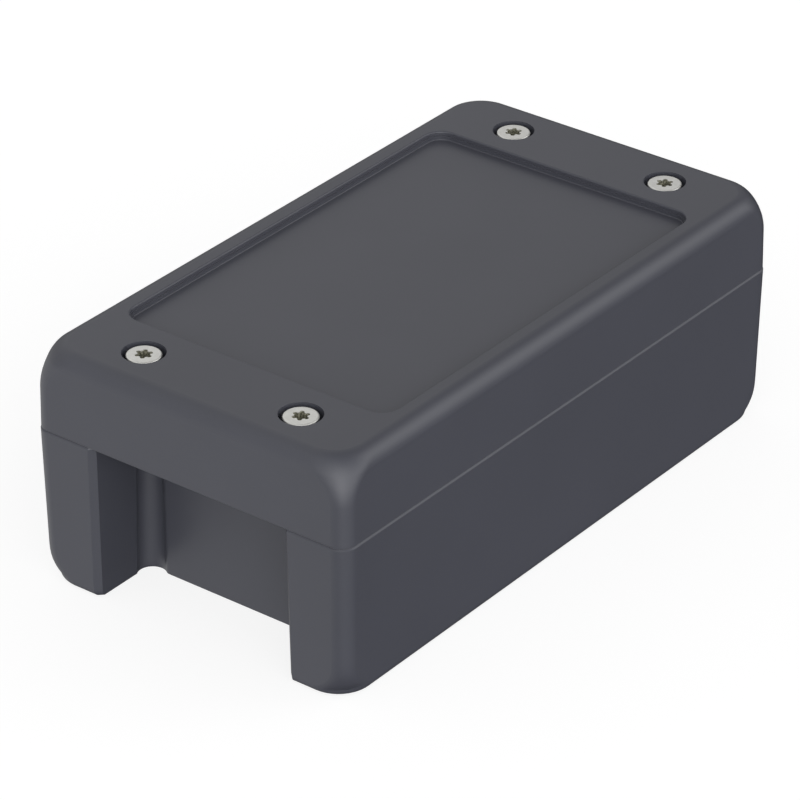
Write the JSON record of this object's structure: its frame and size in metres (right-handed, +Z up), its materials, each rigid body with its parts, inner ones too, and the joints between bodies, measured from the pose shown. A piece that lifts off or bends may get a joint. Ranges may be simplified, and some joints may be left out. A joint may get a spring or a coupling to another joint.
{
  "type": "aluminium enclosure",
  "caption": "Oblong die-cast aluminium enclosure on corner legs, with open end recesses, a sunken label panel, and a sealed lid held by captive screws.",
  "frame": {"origin": "centre of the underside, at the bounding box's bottom centre", "axes": "+X across the enclosure, +Y along its length (the pictured end faces -Y), +Z up through the lid"},
  "size_m": [0.082, 0.1516, 0.0559],
  "materials": {
    "casting": "fine matt graphite powder coat",
    "seal_rubber": "matt",
    "screw_steel": "satin stainless steel",
    "ring_nylon": "matt natural nylon"
  },
  "bodies": {
    "base_body": {"base": "casting"},
    "lid_body": {"lid": "casting", "seal": "seal_rubber"},
    "ring_body_1": {"retaining_ring_1": "ring_nylon"},
    "screw_body_1": {"lid_screw_1": "screw_steel"},
    "ring_body_2": {"retaining_ring_2": "ring_nylon"},
    "screw_body_2": {"lid_screw_2": "screw_steel"},
    "ring_body_3": {"retaining_ring_3": "ring_nylon"},
    "screw_body_3": {"lid_screw_3": "screw_steel"},
    "ring_body_4": {"retaining_ring_4": "ring_nylon"},
    "screw_body_4": {"lid_screw_4": "screw_steel"}
  },
  "joints": [
    {"name": "lid_lift", "type": "slide", "parent": "base_body", "child": "lid_body", "axis": [0, 0, 1], "range_m": [0, 0.06]},
    {"name": "screw_rise_1", "type": "slide", "parent": "lid_body", "child": "ring_body_1", "axis": [0, 0, 1], "range_m": [0, 0.007]},
    {"name": "screw_turn_1", "type": "hinge", "parent": "ring_body_1", "child": "screw_body_1", "pos_m": [-0.02055, -0.0638, 0.05295], "axis": [0, 0, 1], "range_deg": [0, 3600]},
    {"name": "screw_rise_2", "type": "slide", "parent": "lid_body", "child": "ring_body_2", "axis": [0, 0, 1], "range_m": [0, 0.007]},
    {"name": "screw_turn_2", "type": "hinge", "parent": "ring_body_2", "child": "screw_body_2", "pos_m": [0.02055, -0.0638, 0.05295], "axis": [0, 0, 1], "range_deg": [0, 3600]},
    {"name": "screw_rise_3", "type": "slide", "parent": "lid_body", "child": "ring_body_3", "axis": [0, 0, 1], "range_m": [0, 0.007]},
    {"name": "screw_turn_3", "type": "hinge", "parent": "ring_body_3", "child": "screw_body_3", "pos_m": [0.02055, 0.0638, 0.05295], "axis": [0, 0, 1], "range_deg": [0, 3600]},
    {"name": "screw_rise_4", "type": "slide", "parent": "lid_body", "child": "ring_body_4", "axis": [0, 0, 1], "range_m": [0, 0.007]},
    {"name": "screw_turn_4", "type": "hinge", "parent": "ring_body_4", "child": "screw_body_4", "pos_m": [-0.02055, 0.0638, 0.05295], "axis": [0, 0, 1], "range_deg": [0, 3600]}
  ],
  "couplings": [
    {"joint": "screw_turn_1", "follows": "screw_rise_1", "rad_per_m": 8976},
    {"joint": "screw_turn_2", "follows": "screw_rise_2", "rad_per_m": 8976},
    {"joint": "screw_turn_3", "follows": "screw_rise_3", "rad_per_m": 8976},
    {"joint": "screw_turn_4", "follows": "screw_rise_4", "rad_per_m": 8976}
  ]
}
